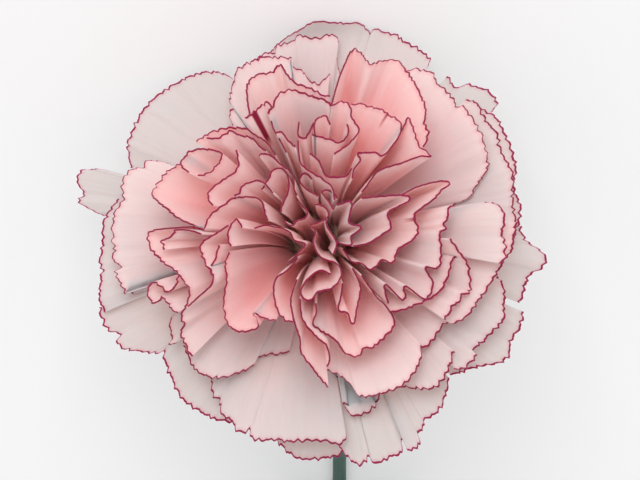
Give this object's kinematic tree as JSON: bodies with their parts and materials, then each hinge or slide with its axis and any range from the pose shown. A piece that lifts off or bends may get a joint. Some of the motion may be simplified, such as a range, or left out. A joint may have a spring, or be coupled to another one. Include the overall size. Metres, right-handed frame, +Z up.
{
  "type": "cut carnation",
  "caption": "Double carnation bloom with ruffled, toothed petals on a cut stem with narrow leaves, lying on its side with the bloom tipped up.",
  "frame": {"origin": "on the surface, under the heel of the stem where it starts to rise to the bloom", "axes": "+Z up from the surface, +Y along the stem towards the cut, -Y towards the bloom"},
  "size_m": [0.0813, 0.2258, 0.0597],
  "materials": {
    "petal": "soft, slightly translucent, pale salmon pink with a thin crimson margin",
    "calyx": "smooth, waxy, grey-green",
    "stem": "smooth, waxy, blue-green with a pale bloom",
    "leaf": "waxy, blue-green with a pale bloom"
  },
  "bodies": {
    "root": {"bloom": "petal", "calyx": "calyx", "epicalyx": "calyx", "stem": "stem", "leaf_upper_right": "leaf", "leaf_upper_left": "leaf", "leaf_lower_right": "leaf", "leaf_lower_left": "leaf"}
  },
  "joints": []
}
